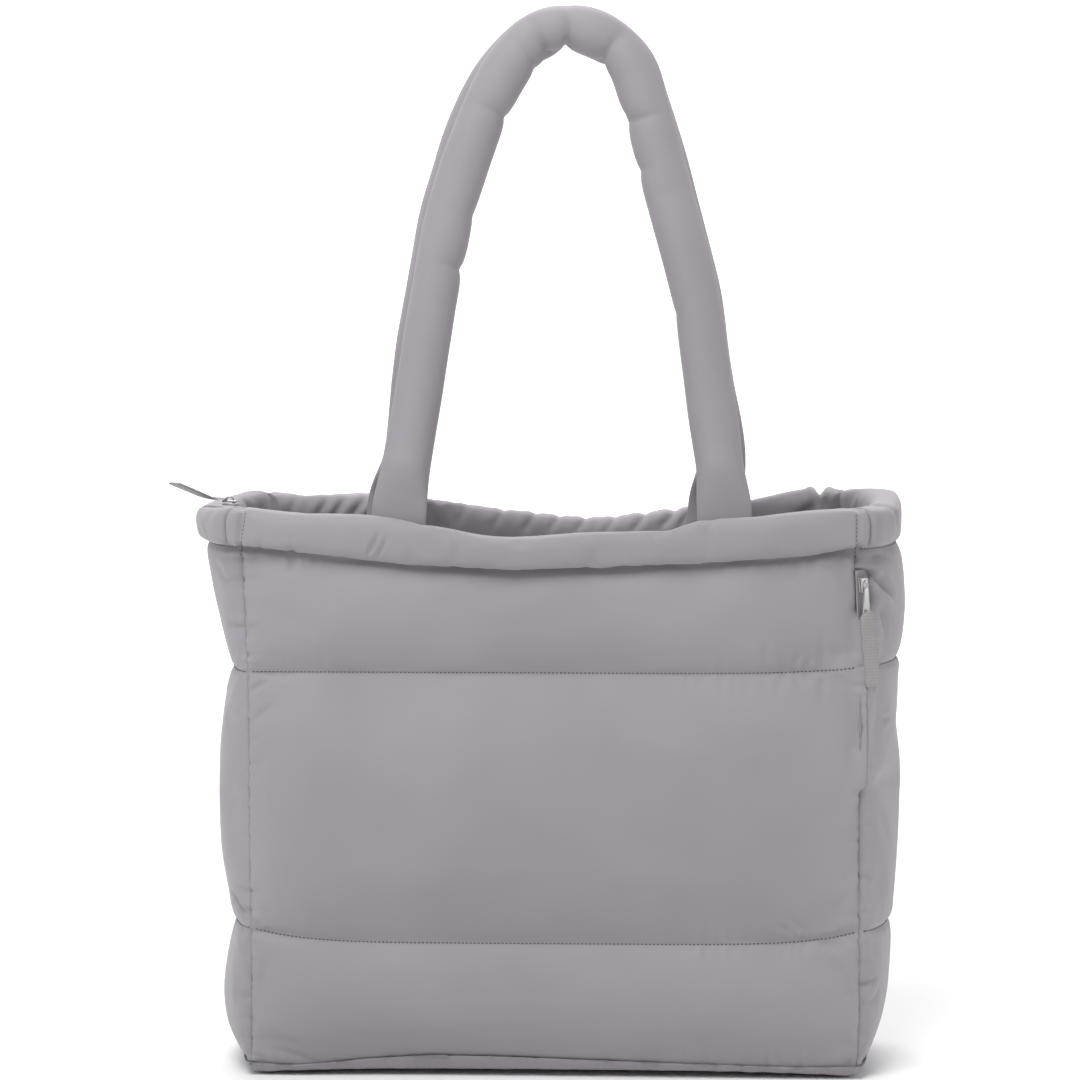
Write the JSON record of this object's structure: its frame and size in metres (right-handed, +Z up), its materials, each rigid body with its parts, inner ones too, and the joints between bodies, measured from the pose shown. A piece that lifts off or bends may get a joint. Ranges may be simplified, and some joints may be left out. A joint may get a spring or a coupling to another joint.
{
  "type": "puffer tote bag",
  "caption": "Padded tote bag with quilted walls, an open zipped mouth, tube handles to carry it by and a zipped side pocket.",
  "frame": {"origin": "middle of the flat underside, on the surface the bag stands on", "axes": "+Z up towards the handles, -Y out of the front wall, +X to the right seen from the front"},
  "size_m": [0.4627, 0.15, 0.661],
  "materials": {
    "padded_nylon": "matte",
    "zip_tape": "matte woven",
    "zip_slider": "satin",
    "webbing": "matte woven"
  },
  "bodies": {
    "root": {"front_panel": "padded_nylon", "back_panel": "padded_nylon", "left_gusset": "padded_nylon", "right_gusset": "padded_nylon", "base_panel": "padded_nylon", "rim_front": "padded_nylon", "rim_back": "padded_nylon", "rim_left": "padded_nylon", "rim_right": "padded_nylon", "handle_front": "padded_nylon", "handle_back": "padded_nylon", "top_zip_tape_front": "zip_tape", "top_zip_tape_back": "zip_tape", "pocket_zip_tape": "zip_tape", "top_zip_slider": "zip_slider", "pocket_zip_slider": "zip_slider", "top_zip_pull": "webbing", "pocket_zip_pull": "webbing"}
  },
  "joints": []
}
